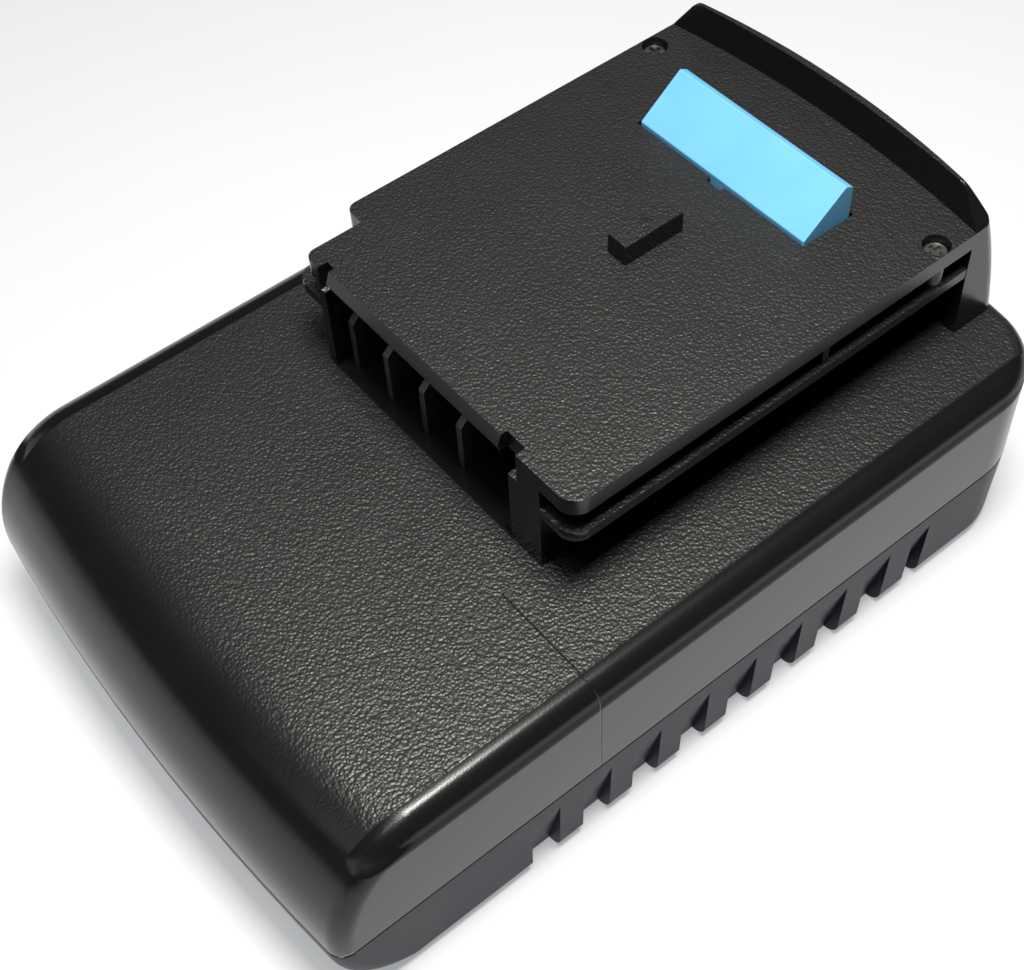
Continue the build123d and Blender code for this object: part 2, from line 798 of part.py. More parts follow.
def lower_housing():
    """Moulded lower half: grip sides, lip and hooks, and the bosses for the two case screws."""
    body = lower_form()
    lip_inset = wall + lip_clearance
    lip_foot = parting_z - floor
    lip_top = parting_z + lip_height
    lip = plan_outline(half_width - lip_inset, back_y - lip_inset, back_corner_radius - lip_inset, lip_foot)
    body += extrude(lip, amount=floor + lip_height) & lower_front(lip_inset, lip_foot, lip_top)
    hollow = plan_outline(cavity_half_width, back_y - rim_wall, cavity_back_radius, floor)
    hollow = extrude(hollow, amount=lip_top + overrun - floor)
    body -= hollow & lower_front(rim_wall, floor, lip_top + overrun)
    for x in hook_places():
        body += hook(x)
    for x, y in screw_places(case_screw_x, case_screw_y):
        body -= post(case_boss_radius + holder_boss_clearance, x, y, (parting_z, lip_top + overrun))
        body += post(case_boss_radius, x, y, (floor / 2, parting_z))
        body += post(case_boss_foot_radius, x, y, (floor / 2, case_boss_foot_height))
        body -= post(case_screw_head_radius + case_recess_clearance, x, y, (-overrun, case_screw_seat_z))
        body -= post(case_screw_shank_radius + screw_hole_clearance, x, y, (0, parting_z + overrun))
    for side in (-1, 1):
        for index in range(groove_count):
            last = index == groove_count - 1
            width = last_groove_width if last else groove_width
            body -= grip_groove(side, first_groove_y + index * groove_pitch, width)
    return body


def latch():
    """Blue latch: ramped wedge, carriage, rear apron and the thumb pad that pulls it down."""
    crest_z = plate_top_z + latch_rise
    wedge_points = [
        (latch_front_y, carriage_bottom_z + overrun),
        (latch_front_y, plate_top_z + latch_edge_radius),
        (latch_back_y - latch_crest_width, crest_z),
        (latch_back_y, crest_z - latch_crest_drop),
        (latch_back_y, carriage_bottom_z + overrun),
    ]
    outline = make_face(Polyline(*wedge_points, close=True))
    outline = fillet(outline.vertices().group_by(Axis.Y)[-2:][0], latch_crest_radius)
    wedge = extrude(Plane.YZ * outline, amount=latch_half_width, both=True)
    apron_back_y = apron_front_y + apron_thickness
    carriage_z = (carriage_bottom_z, carriage_top_z)
    carriage_y = (latch_front_y - carriage_front_reach, carriage_back_y)
    carriage = block(span(0, 2 * latch_half_width), carriage_y, carriage_z)
    arm = block(span(0, 2 * arm_half_width), (carriage_back_y - overrun, apron_back_y), carriage_z)
    apron_z = (carriage_top_z - apron_height, carriage_top_z)
    apron = block(span(0, 2 * apron_half_width), (apron_front_y, apron_back_y), apron_z)
    body = wedge + carriage + arm + apron + thumb_pad()
    for x in (-spring_x, spring_x):
        pocket = spring_mean_radius + spring_wire_width / 2 + spring_pocket_clearance
        body -= post(pocket, x, spring_y, (carriage_bottom_z - overrun, spring_top_z))
    return body


def thumb_pad():
    """Thumb pad behind the rear face, bowed like it, with ridges for grip."""
    edge_y = rear_middle_y + pad_stand
    bow = rear_bow_depth * (pad_half_width / tower_half_width) ** 2
    front_edge = Line((-pad_half_width, apron_front_y), (pad_half_width, apron_front_y))
    right_edge = Line((pad_half_width, apron_front_y), (pad_half_width, edge_y - bow))
    back_edge = ThreePointArc((pad_half_width, edge_y - bow), (0, edge_y), (-pad_half_width, edge_y - bow))
    left_edge = Line((-pad_half_width, edge_y - bow), (-pad_half_width, apron_front_y))
    outline = make_face([front_edge, right_edge, back_edge, left_edge])
    pad = extrude(Pos(0, 0, pad_bottom_z) * outline, amount=pad_height)
    pad = chamfer(pad.edges().filter_by(GeomType.CIRCLE), pad_round)
    for index in range(pad_ridge_count):
        ridge_z = pad_bottom_z + pad_height / 2 + (index - (pad_ridge_count - 1) / 2) * pad_ridge_pitch
        groove_y = (edge_y - pad_ridge_depth - bow, edge_y + overrun)
        pad -= block(span(0, 2 * arm_half_width), groove_y, span(ridge_z, pad_ridge_width))
    return pad


def latch_retainer():
    """Plate that closes the latch chamber from below and carries the two springs."""
    half = chamber_half_width - retainer_clearance
    body = block((-half, half), (retainer_front_y, retainer_back_y), (retainer_bottom_z, retainer_top_z))
    post_z = (retainer_bottom_z, retainer_top_z + spring_post_height)
    for x in (-spring_x, spring_x):
        body += post(spring_post_radius, x, spring_y, post_z)
    for x, y in screw_places(retainer_boss_x, retainer_boss_front_y, retainer_boss_back_y):
        hole = retainer_screw_shank_radius + screw_hole_clearance
        body -= post(hole, x, y, (retainer_bottom_z - overrun, retainer_top_z + overrun))
    return body


def latch_spring(x):
    """Compression spring as one unbroken tube between the retainer and the latch."""
    low_z = spring_bottom_z + spring_wire_width / 2
    high_z = spring_top_z - spring_wire_width / 2
    half_count = spring_turns * 2
    rise = (high_z - low_z) / half_count

    def point(half):
        angle = half * pi
        across = spring_mean_radius * cos(angle)
        along = spring_mean_radius * sin(angle)
        return Vector(x + across, spring_y + along, low_z + rise * half)

    def tangent(half):
        angle = half * pi
        run = spring_mean_radius * pi
        return Vector(-run * sin(angle), run * cos(angle), rise).normalized()

    arcs = []
    for half in range(half_count):
        arcs += biarc(point(half), tangent(half), point(half + 1), tangent(half + 1))
    route = Wire(arcs)
    section = RegularPolygon(spring_wire_width / 2, spring_side_count)
    return sweep(Plane(origin=point(0), z_dir=tangent(0)) * section, path=route), route


def spring_gap(route):
    """Least gap between one turn of a spring's tube and the next, measured on points along it."""
    samples_per_turn = 24
    count = spring_turns * samples_per_turn
    points = [route.position_at(index / count) for index in range(count + 1)]
    least = spring_mean_radius
    for index, point in enumerate(points):
        for other in points[index + samples_per_turn // 2:]:
            least = min(least, (point - other).length - spring_wire_width)
    return least


def cell(index):
    """One cell, turned so that neighbours point opposite ways."""
    body = Rot(0, 90, 0) * Cylinder(cell_radius, cell_length)
    body = chamfer(body.edges().filter_by(GeomType.CIRCLE), cell_edge_radius)
    side = positive_side(index)
    button = Pos(side * cell_end_x, 0, 0) * Rot(0, 90, 0) * Cylinder(button_radius, 2 * button_height)
    return Pos(0, cell_places[index], cell_z) * (body + button)


def positive_side(index):
    """Side of a cell's positive end: 1 is the right, -1 is the left."""
    return 1 if index % 2 == 0 else -1


def cell_holder(side):
    """Moulded frame round one end of all the cells, cut away for the case bosses."""
    points = [
        (-holder_half_length, holder_top_z),
        (-holder_half_length, holder_bottom_z + holder_end_chamfer),
        (-holder_half_length + holder_end_chamfer, holder_bottom_z),
        (holder_half_length - holder_end_chamfer, holder_bottom_z),
        (holder_half_length, holder_bottom_z + holder_end_chamfer),
        (holder_half_length, holder_top_z),
    ]
    depth = (holder_outer_x - holder_inner_x) / 2
    body = Pos(side * (holder_inner_x + depth), 0, 0) * side_profile(points, depth)
    for y in cell_places:
        bore = Rot(0, 90, 0) * Cylinder(cell_radius + cell_clearance, cell_length)
        body -= Pos(0, y, cell_z) * bore
    for x, y in screw_places(case_screw_x, case_screw_y):
        body -= post(case_boss_radius + holder_boss_clearance, x, y, (holder_bottom_z - overrun, body_top_z))
        body -= post(case_boss_foot_radius + holder_boss_clearance, x, y,
                     (holder_bottom_z - overrun, case_boss_foot_height + holder_boss_clearance))
    for x, y in board_screw_places():
        hole = board_screw_shank_radius + screw_hole_clearance
        body -= post(hole, x, y, (board_top_z - board_screw_length - overrun / 2, holder_top_z + overrun))
    tail_room_z = (holder_top_z - tail_stand - tail_clearance, holder_top_z + overrun)
    for x in blade_x:
        for y in tail_places():
            room_x = span(x, blade_thickness + 2 * tail_clearance)
            body -= block(room_x, span(y, tail_width + 2 * tail_clearance), tail_room_z)
    return body


def insulating_rings():
    """Ring washers on the positive ends of the cells."""
    rings = []
    for index, y in enumerate(cell_places):
        outline = RegularPolygon(cell_radius - ring_washer_margin, ring_side_count)
        outline -= RegularPolygon(ring_washer_hole, ring_side_count)
        ring = extrude(outline, amount=ring_washer_thickness / 2, both=True)
        x = positive_side(index) * (cell_end_x + ring_washer_thickness / 2)
        rings.append(Pos(x, y, cell_z) * Rot(0, 90, 0) * ring)
    return Compound(rings)


def strap(side, first, last):
    """Nickel strap over the ends of one or two cells, with a tab that folds on to the board."""
    low_y = cell_places[first] - strap_end_reach
    high_y = cell_places[last] + strap_end_reach
    middle_y = (low_y + high_y) / 2
    inner_x = strap_x
    outer_x = strap_x + strap_thickness
    plate_x = sorted((side * inner_x, side * outer_x))
    body = block(plate_x, (low_y, high_y), (cell_z - strap_height / 2, cell_z + strap_height / 2))
    tab_y = (middle_y - strap_tab_width / 2, middle_y + strap_tab_width / 2)
    tab_top = board_top_z + strap_thickness
    body += block(plate_x, tab_y, (cell_z, tab_top))
    fold_x = sorted((side * (outer_x - strap_tab_reach), side * outer_x))
    return body + block(fold_x, tab_y, (board_top_z, tab_top))


def insulating_sheet(side):
    """Sheet between the straps and the housing's side wall."""
    x_range = sorted((side * sheet_x, side * (sheet_x + sheet_thickness)))
    reach = row_half_length + strap_end_reach + sheet_margin
    low_z = floor + sheet_margin
    return block(x_range, (-reach, reach), (low_z, low_z + 2 * cell_radius + sheet_rise))


def foam_pads():
    """Two strips that press the row of cells between the end walls."""
    foam_half_width = hook_pitch - hook_width / 2 - foam_clearance
    middle_z = cell_z + foam_lift
    z_range = (middle_z - foam_height / 2, middle_z + foam_height / 2)
    bow_share = (foam_half_width / half_width) ** 2
    front_face = front_y + rim_wall + front_lean(z_range[0]) + front_bow_depth * bow_share + foam_clearance
    back_face = back_y - rim_wall - back_bow_depth * bow_share - foam_clearance
    x_range = (-foam_half_width, foam_half_width)
    near = holder_half_length - holder_end_wall
    return Compound([
        block(x_range, (front_face, -near - foam_clearance), z_range),
        block(x_range, (near + foam_clearance, back_face), z_range),
    ])


def board_screw_places():
    """The board is held at two opposite corners, between neighbouring cells."""
    return [(board_screw_x, -board_screw_y), (-board_screw_x, board_screw_y)]


def circuit_board():
    """Protection board on top of the cell holders, with holes for the blades' tails and its screws."""
    middle_y = (board_front_y + board_back_y) / 2
    outline = Pos(0, middle_y) * Rectangle(2 * board_half_width, board_back_y - board_front_y)
    outline = fillet(outline.vertices(), board_corner_radius)
    body = extrude(Pos(0, 0, holder_top_z) * outline, amount=board_thickness)
    for x in blade_x:
        for y in tail_places():
            reach_x = blade_thickness / 2 + tail_clearance
            reach_y = tail_width / 2 + tail_clearance
            body -= block((x - reach_x, x + reach_x), (y - reach_y, y + reach_y),
                          (holder_top_z - overrun, board_top_z + overrun))
    for x, y in board_screw_places():
        hole = board_screw_shank_radius + screw_hole_clearance
        body -= post(hole, x, y, (holder_top_z - overrun, board_top_z + overrun))
    for side in (-1, 1):
        lead_y = thermistor_y + side * thermistor_lead_pitch / 2
        body -= post(thermistor_lead_radius + tail_clearance, thermistor_x, lead_y,
                     (holder_top_z - overrun, board_top_z + overrun))
    return body


def tail_places():
    """Places along Y of a blade's two solder tails."""
    first = blade_front_y + tail_inset + tail_width / 2
    last = blade_front_y + blade_length - tail_inset - tail_width / 2
    return (first, last)


def terminal_blade(x):
    """Blade that stands on edge in the bay, with two solder tails through the board."""
    y_range = (blade_front_y, blade_front_y + blade_length)
    half = blade_thickness / 2
    blade = block((x - half, x + half), y_range, (board_top_z + tail_clearance, blade_top_z))
    blade = chamfer(blade.edges().filter_by(Axis.X).group_by(Axis.Z)[-1].sort_by(Axis.Y)[0], blade_chamfer)
    for y in tail_places():
        tail = block((x - half, x + half), (y - tail_width / 2, y + tail_width / 2),
                     (holder_top_z - tail_stand, board_top_z + overrun))
        blade += tail
    return blade


def terminal_block():
    """Moulded base on the board that holds the blades upright."""
    body = block(
        (blade_x[0] - block_margin, blade_x[-1] + block_margin),
        (blade_front_y - block_margin / 2, blade_front_y + blade_length + block_margin / 2),
        (board_top_z, inner_top_z - block_clearance),
    )
    for x in blade_x:
        reach = blade_thickness / 2 + tail_clearance / 2
        body -= block((x - reach, x + reach),
                      (blade_front_y - tail_clearance, blade_front_y + blade_length + tail_clearance),
                      (board_top_z - overrun, body_top_z))
    return body


def power_transistors():
    """Two flat power transistors, each with its metal tab and two leads."""
    parts = []
    for x in transistor_x:
        case = block((x - transistor_width / 2, x + transistor_width / 2),
                     (transistor_y - transistor_length / 2, transistor_y + transistor_length / 2),
                     (board_top_z, board_top_z + transistor_height))
        tab_y = transistor_y + transistor_length / 2
        case += block((x - transistor_width / 2 + transistor_tab_thickness,
                       x + transistor_width / 2 - transistor_tab_thickness),
                      (tab_y - transistor_tab_thickness, tab_y + transistor_tab_reach),
                      (board_top_z, board_top_z + transistor_tab_thickness))
        for side in (-1, 1):
            lead_x = x + side * transistor_lead_pitch / 2
            case += block((lead_x - transistor_lead_width / 2, lead_x + transistor_lead_width / 2),
                          (transistor_y - transistor_length / 2 - transistor_lead_reach, transistor_y),
                          (board_top_z, board_top_z + transistor_tab_thickness))
        parts.append(case)
    return Compound(parts)


def controller_chip():
    """Cell-monitoring chip with a row of pins down each side."""
    body = block(span(chip_x, chip_width), span(chip_y, chip_length), (board_top_z, board_top_z + chip_height))
    for index in range(chip_pin_count):
        pin_y = chip_y + (index - (chip_pin_count - 1) / 2) * chip_pin_pitch
        pins_x = span(chip_x, chip_width + 2 * chip_pin_reach)
        pins_z = (board_top_z, board_top_z + chip_pin_thickness)
        body += block(pins_x, span(pin_y, chip_pin_width), pins_z)
    return body


def shunt_resistor():
    """Flat current-sensing resistor."""
    z_range = (board_top_z, board_top_z + shunt_height)
    body = block(span(shunt_x, shunt_width), span(shunt_y, shunt_length), z_range)
    return chamfer(body.edges().filter_by(Axis.Y).group_by(Axis.Z)[-1], shunt_chamfer)


def thermistor():
    """Temperature bead on the middle cell, hung from the board by its two leads."""
    bead_z = cell_z + cell_radius + thermistor_radius
    bead = Rot(90, 0, 0) * Cylinder(thermistor_radius, thermistor_length)
    bead = Pos(thermistor_x, thermistor_y, bead_z) * bead
    for side in (-1, 1):
        lead_y = thermistor_y + side * thermistor_lead_pitch / 2
        bead += post(thermistor_lead_radius, thermistor_x, lead_y, (bead_z, board_top_z + tail_clearance))
    return bead


def placed_screws(places, z, upright, sizes):
    """The same screw at several places, head up or head down."""
    head_radius, head_height, shank_radius, length = sizes
    one = screw(head_radius, head_height, shank_radius, length)
    turned = one if upright else Rot(180, 0, 0) * one
    return Compound([Pos(x, y, z) * turned for x, y in places])


def rail_screws():
    """Two small screws that tie the plate's flanges to the lower ribs just ahead of the rear wall."""
    sizes = (rail_screw_head_radius, rail_screw_head_height, rail_screw_shank_radius, rail_screw_length)
    seat = plate_top_z - rail_screw_sink - rail_screw_head_height
    return placed_screws(screw_places(rail_screw_x, rail_screw_y), seat, True, sizes)


def retainer_screws():
    """Four screws that hold the retainer up against the chamber's bosses."""
    sizes = (retainer_screw_head_radius, retainer_screw_head_height, retainer_screw_shank_radius,
             retainer_screw_length)
    places = screw_places(retainer_boss_x, retainer_boss_front_y, retainer_boss_back_y)
    return placed_screws(places, retainer_bottom_z, False, sizes)


def case_screws():
    """Two long screws from below that pull the housings together at the latch end."""
    sizes = (case_screw_head_radius, case_screw_head_height, case_screw_shank_radius, case_screw_length)
    return placed_screws(screw_places(case_screw_x, case_screw_y), case_screw_seat_z, False, sizes)


def board_screws():
    """Two screws that hold the board on the cell holders."""
    sizes = (board_screw_head_radius, board_screw_head_height, board_screw_shank_radius, board_screw_length)
    return placed_screws(board_screw_places(), board_top_z, True, sizes)


def save(name, shape):
    """Write one node."""
    export_step(shape, f"parts/{name}.step")


os.makedirs("parts", exist_ok=True)
save("upper_housing", upper_housing())
save("lower_housing", lower_housing())
save("latch", latch())
save("latch_retainer", latch_retainer())
for name, x in (("latch_spring_left", -spring_x), ("latch_spring_right", spring_x)):
    tube, route = latch_spring(x)
    print(name, "least gap between turns", round(spring_gap(route), 2), "mm")
    save(name, tube)
for index in range(cell_count):
    save(f"cell_{index + 1}", cell(index))
save("cell_holder_left", cell_holder(-1))
save("cell_holder_right", cell_holder(1))
save("insulating_rings", insulating_rings())
save("strap_negative", strap(-1, 0, 0))
save("strap_positive", strap(positive_side(cell_count - 1), cell_count - 1, cell_count - 1))
for index in range(cell_count - 1):
    save(f"strap_{index + 1}_{index + 2}", strap(positive_side(index), index, index + 1))
save("insulating_sheet_left", insulating_sheet(-1))
save("insulating_sheet_right", insulating_sheet(1))
save("foam_pads", foam_pads())
save("circuit_board", circuit_board())
save("terminal_block", terminal_block())
for number, x in enumerate(blade_x, start=1):
    save(f"terminal_blade_{number}", terminal_blade(x))
save("power_transistors", power_transistors())
save("controller_chip", controller_chip())
save("shunt_resistor", shunt_resistor())
save("thermistor", thermistor())
save("rail_screws", rail_screws())
save("retainer_screws", retainer_screws())
save("case_screws", case_screws())
save("board_screws", board_screws())
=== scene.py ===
# %% [markdown]
# # A slide-on battery pack for a cordless tool
#
# The real object is two black mouldings closed round a row of cells. The upper one carries a rail tower with
# an open bay for the tool's contacts, and a sky-blue latch stands up through the tower's plate. This lesson
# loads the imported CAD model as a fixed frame, gives every visible moulding a finished surface, and lights it
# the way a catalogue photograph does.

# %% Load the frame
import json

import bpy
from mathutils import Matrix, Vector
from math import radians


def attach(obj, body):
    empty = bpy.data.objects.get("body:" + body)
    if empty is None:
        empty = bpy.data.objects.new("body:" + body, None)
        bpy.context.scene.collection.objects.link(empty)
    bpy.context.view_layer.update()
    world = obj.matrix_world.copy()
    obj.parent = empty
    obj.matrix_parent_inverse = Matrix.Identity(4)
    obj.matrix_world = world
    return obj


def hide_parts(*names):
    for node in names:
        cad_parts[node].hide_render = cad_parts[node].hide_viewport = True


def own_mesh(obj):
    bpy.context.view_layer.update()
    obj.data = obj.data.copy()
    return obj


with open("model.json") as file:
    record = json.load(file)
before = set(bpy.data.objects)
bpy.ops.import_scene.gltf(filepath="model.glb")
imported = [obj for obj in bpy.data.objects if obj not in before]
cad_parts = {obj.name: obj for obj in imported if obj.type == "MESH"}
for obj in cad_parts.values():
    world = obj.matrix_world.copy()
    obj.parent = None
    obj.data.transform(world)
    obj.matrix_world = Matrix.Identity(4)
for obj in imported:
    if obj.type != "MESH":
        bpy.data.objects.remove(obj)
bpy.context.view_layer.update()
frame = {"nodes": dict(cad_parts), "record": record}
mm = 0.001

# %% [markdown]
# ## Where the photographer stood
#
# The photograph looks down on the pack from its front right. The camera's place and the directions of its
# right, up and back were solved from the straight edges of the tower, so they are written here as plain
# measurements. A camera object could also be aimed with a Track To constraint, but the photograph is rolled
# by a degree or two, and a full set of axes keeps that roll.

# %% Camera
picture_width = 1024
focal_pixels = 1661.9
camera_place = Vector((103.474, -77.345, 180.972)) * mm
camera_right = Vector((0.6272, 0.7781, -0.0371))
camera_back = Vector((0.4925, -0.3591, 0.7928))

camera_back.normalize()
camera_right = (camera_right - camera_right.dot(camera_back) * camera_back).normalized()
camera_up = camera_back.cross(camera_right)
lens_data = bpy.data.cameras.new("catalogue_camera")
lens_data.sensor_width = 36
lens_data.lens = focal_pixels / picture_width * lens_data.sensor_width
lens_data.clip_start = 10 * mm
camera = bpy.data.objects.new("catalogue_camera", lens_data)
bpy.context.scene.collection.objects.link(camera)
axes = Matrix((camera_right, camera_up, camera_back)).transposed()
camera.matrix_world = Matrix.Translation(camera_place) @ axes.to_4x4()
bpy.context.scene.camera = camera
bpy.context.scene.view_settings.view_transform = "Standard"
print("camera lens", round(lens_data.lens, 2), "mm")

# %% [markdown]
# ## Shader sums written as sums
#
# A material is a web of nodes, and a web is hard to read. This small class wraps one output socket, so that
# `mask * 0.4 + 0.2` adds the Math nodes by itself. Every other kind of node comes from one method, which
# sets the node's options first and its inputs after. The same webs could be drawn by hand in the shader
# editor, but a written sum can be read, changed and run again.

# %% Sums on sockets
class Wire:
    """One output socket in a material, with the usual operators."""

    def __init__(self, tree, socket):
        self.tree = tree
        self.socket = socket

    def math(self, operation, *others):
        """Math node with this wire as its first input."""
        node = self.tree.nodes.new("ShaderNodeMath")
        node.operation = operation
        put_all(self.tree, node, (self, *others))
        return Wire(self.tree, node.outputs[0])

    def __add__(self, other):
        return self.math("ADD", other)

    def __sub__(self, other):
        return self.math("SUBTRACT", other)

    def __mul__(self, other):
        return self.math("MULTIPLY", other)

    def __truediv__(self, other):
        return self.math("DIVIDE", other)

    def __rsub__(self, other):
        return (self * -1) + other

    __radd__ = __add__
    __rmul__ = __mul__

    def ramp(self, start, end):
        """0 below start, 1 above end and smooth between. A start above the end turns it round."""
        node = self.tree.nodes.new("ShaderNodeMapRange")
        node.interpolation_type = "SMOOTHSTEP"
        limits = (start, end, 0, 1) if start < end else (end, start, 1, 0)
        put(self.tree, node.inputs["Value"], self)
        for name, value in zip(("From Min", "From Max", "To Min", "To Max"), limits):
            node.inputs[name].default_value = value
        return Wire(self.tree, node.outputs["Result"])


def put(tree, socket, value):
    """Link a wire to an input socket, or set the socket to a plain value."""
    if isinstance(value, Wire):
        tree.links.new(value.socket, socket)
    else:
        socket.default_value = value


def put_all(tree, node, values):
    """Put values into a node's inputs in order."""
    for socket, value in zip(node.inputs, values):
        put(tree, socket, value)


print("sockets can be added, multiplied and ramped")

# %% [markdown]
# ## A material under construction
#
# Each finish starts from the same few nodes: one surface shader, its output, and the place and direction of
# the point being shaded. They could be made again in every material, but one class keeps the finishes
# below down to what is different in each. Places are the object's own, so the texture moves with the piece.

# %% Start of every finish
class Finish:
    """One material under construction."""

    def __init__(self, name):
        self.material = bpy.data.materials.new(name)
        self.material.use_nodes = True
        self.tree = self.material.node_tree
        self.tree.nodes.clear()
        self.shader = self.tree.nodes.new("ShaderNodeBsdfPrincipled")
        out = self.tree.nodes.new("ShaderNodeOutputMaterial")
        self.tree.links.new(self.shader.outputs[0], out.inputs["Surface"])
        place = self.tree.nodes.new("ShaderNodeTexCoord")
        self.place = Wire(self.tree, place.outputs["Object"])
        self.facing = Wire(self.tree, place.outputs["Normal"])

    def node(self, kind, output, settings=None, **inputs):
        """Any node: its settings first, then its inputs by name. Returns one of its outputs."""
        made = self.tree.nodes.new(kind)
        for name, value in (settings or {}).items():
            setattr(made, name, value)
        for name, value in inputs.items():
            put(self.tree, made.inputs[name.replace("_", " ")], value)
        return Wire(self.tree, made.outputs[output])

    def vector_math(self, operation, *values):
        """Sum or product of vectors."""
        made = self.tree.nodes.new("ShaderNodeVectorMath")
        made.operation = operation
        put_all(self.tree, made, values)
        return Wire(self.tree, made.outputs[0])

    def split(self, vector):
        """The three parts of a vector."""
        made = self.tree.nodes.new("ShaderNodeSeparateXYZ")
        put(self.tree, made.inputs[0], vector)
        return [Wire(self.tree, made.outputs[place]) for place in range(3)]

    def blend(self, share, first, second):
        """Mix of two colours."""
        made = self.tree.nodes.new("ShaderNodeMix")
        made.data_type = "RGBA"
        for place, value in ((0, share), (6, (*first, 1)), (7, (*second, 1))):
            put(self.tree, made.inputs[place], value)
        return Wire(self.tree, made.outputs[2])

    def noise(self, size, detail=2.0, roughness=0.5):
        """Soft noise whose lumps are about a size in metres."""
        return self.node("ShaderNodeTexNoise", "Fac", Vector=self.place, Scale=1 / size, Detail=detail,
                         Roughness=roughness)

    def bump(self, height, strength, distance):
        """Normal that follows a height."""
        return self.node("ShaderNodeBump", "Normal", Height=height, Strength=strength, Distance=distance)

    def constant(self, name, value):
        """Set one input of the surface shader to a fixed value."""
        self.shader.inputs[name].default_value = value

    def set(self, **values):
        """Set the surface shader's inputs."""
        for name, value in values.items():
            put(self.tree, self.shader.inputs[name.replace("_", " ")], value)
        return self.material


print("finishes can be built")

# %% [markdown]
# ## Grained black plastic
#
# The upper housing is moulded in a tool whose top faces are etched with a coarse leather grain. The grain
# stops short of the rounded edges, which are left smooth and look like a dark band, and the sides have a
# fine spark texture. One material covers the whole moulding, because it is one piece. Where each texture
# sits follows from two things that the surface knows: its place, and which way it faces. A picture of grain
# could be wrapped round the moulding instead, but it would show its seams and its pixels close up.

# %% Where the grain is
body_top = 29.3 * mm
grain_edge = 33.5 * mm
border_softness = 0.25 * mm
roll_start = -40.0 * mm
roll_end = -55.0 * mm
bay_left = -19.4 * mm
bay_right = 15.4 * mm
bay_front = -13.4 * mm
bay_softness = 0.2 * mm


def grained_area(finish, x, y, z):
    """1 on the grained top faces, and 0 on the sides, the rounded edges and the floor of the bay."""
    facing_up = finish.split(finish.facing)[2].ramp(0.80, 0.98)
    inside_edge = x.math("ABSOLUTE").ramp(grain_edge + border_softness, grain_edge - border_softness)
    before_roll = y.ramp(roll_end, roll_start)
    high = z.ramp(body_top - 5 * mm, body_top - 1 * mm)
    bay_floor = (x.ramp(bay_left - bay_softness, bay_left + bay_softness)
                 * x.ramp(bay_right + bay_softness, bay_right - bay_softness)
                 * y.ramp(bay_front - bay_softness, bay_front + bay_softness)
                 * z.ramp(body_top + 6 * mm, body_top + 5 * mm))
    return facing_up * inside_edge * before_roll * high * (1.0 - bay_floor)


print("grain between", round(-grain_edge / mm, 1), "and", round(grain_edge / mm, 1), "mm")

# %% [markdown]
# Leather grain is a field of pebbles with pores in the creases between them. A Voronoi texture gives the
# pebbles, and noise bends its straight borders. A second noise cuts the pores. Real grain of this kind is
# etched about a tenth of a millimetre deep, which is too fine to model, so it is a bump.

# %% Leather grain
grain_size = 0.41 * mm
bend_size = 0.9 * mm
bend_reach = 0.35 * mm
pore_size = 0.3 * mm
texture_depth = 0.085 * mm


def leather(finish):
    """Height of the leather grain."""
    warp = finish.node("ShaderNodeTexNoise", "Color", Vector=finish.place, Scale=1 / bend_size, Detail=1.0)
    bent = finish.vector_math("MULTIPLY_ADD", warp, (bend_reach,) * 3, finish.place)
    pebbles = finish.node("ShaderNodeTexVoronoi", "Distance", {"feature": "SMOOTH_F1"}, Vector=bent,
                          Scale=1 / grain_size, Smoothness=0.3)
    pores = finish.noise(pore_size, 2.0, 0.6)
    return pebbles * -1.0 + pores * 0.5


print("pebbles of", round(grain_size / mm, 2), "mm")

# %% [markdown]
# Two more marks of the tool show. A slide core leaves a fine witness line across the right of the top and
# down the side. And the smooth band starts with a crisp crease where the etching stops. The rounded edge
# under the band is in the mesh, and only its upper border is sharpened here, by a bump that tilts the light.
# The black itself is almost pure: what the eye sees on it is the mirrored light, so the grain is rougher and
# the rest is smooth. The grained top faces are also painted a lighter black, as painted light from the lamps
# overhead, and slow patches of lighter black give the plastic's own random tone.

# %% Upper housing plastic
fine_size = 0.22 * mm
seam_y = -18.9 * mm
seam_width = 0.16 * mm
seam_start = 20.0 * mm
crease_width = 2.9 * mm
crease_slope = 0.5
black_plastic = (0.004, 0.004, 0.0043)
# The lighter black serves two things: the plastic's own random patches, and painted light on the grained top
# faces.
worn_and_lit_plastic = (0.009, 0.009, 0.0088)


def upper_plastic():
    """Black plastic with leather grain on its top faces."""
    finish = Finish("upper_housing_plastic")
    x, y, z = finish.split(finish.place)
    grained = grained_area(finish, x, y, z)
    grain = leather(finish) * grained
    fine = finish.noise(fine_size, 2.0, 0.6)
    seam_side = x.ramp(seam_start - 0.5 * mm, seam_start + 0.5 * mm)
    seam = (y - seam_y).math("ABSOLUTE").ramp(seam_width, 0.0) * seam_side
    past_edge = x.math("ABSOLUTE") - grain_edge
    share = past_edge.math("MAXIMUM", 0.0).math("MINIMUM", crease_width) / crease_width
    crease = (share * share * 0.5 - share) * (crease_slope * crease_width / texture_depth)
    near_top = (z.ramp(body_top - 3.5 * mm, body_top - 1.5 * mm)
                * z.ramp(body_top + 0.6 * mm, body_top + 0.2 * mm))
    height = grain + fine * 0.10 - seam * 1.3 + crease * near_top
    patches = finish.noise(9 * mm, 2.0)
    # Painted light: the grained top faces get the lighter black, as if lit by the lamps overhead. The slow
    # patches add the plastic's own random tone.
    tone = (grained * 0.55 + patches * 0.25).ramp(0.0, 1.0)
    finish.constant("Specular IOR Level", 0.37)
    return finish.set(
        Base_Color=finish.blend(tone, black_plastic, worn_and_lit_plastic),
        Roughness=grained * 0.19 + patches * 0.04 + 0.19,
        Normal=finish.bump(height, 1.0, texture_depth),
    )


housing_upper = upper_plastic()
print("made", housing_upper.name)

# %% [markdown]
# The lower housing is a separate moulding from another tool. Its plastic reads as a slightly bluish dark
# grey, with the same fine spark texture all over. It could share the upper housing's material, but the seam
# between the two halves shows in the photograph partly because their blacks differ.

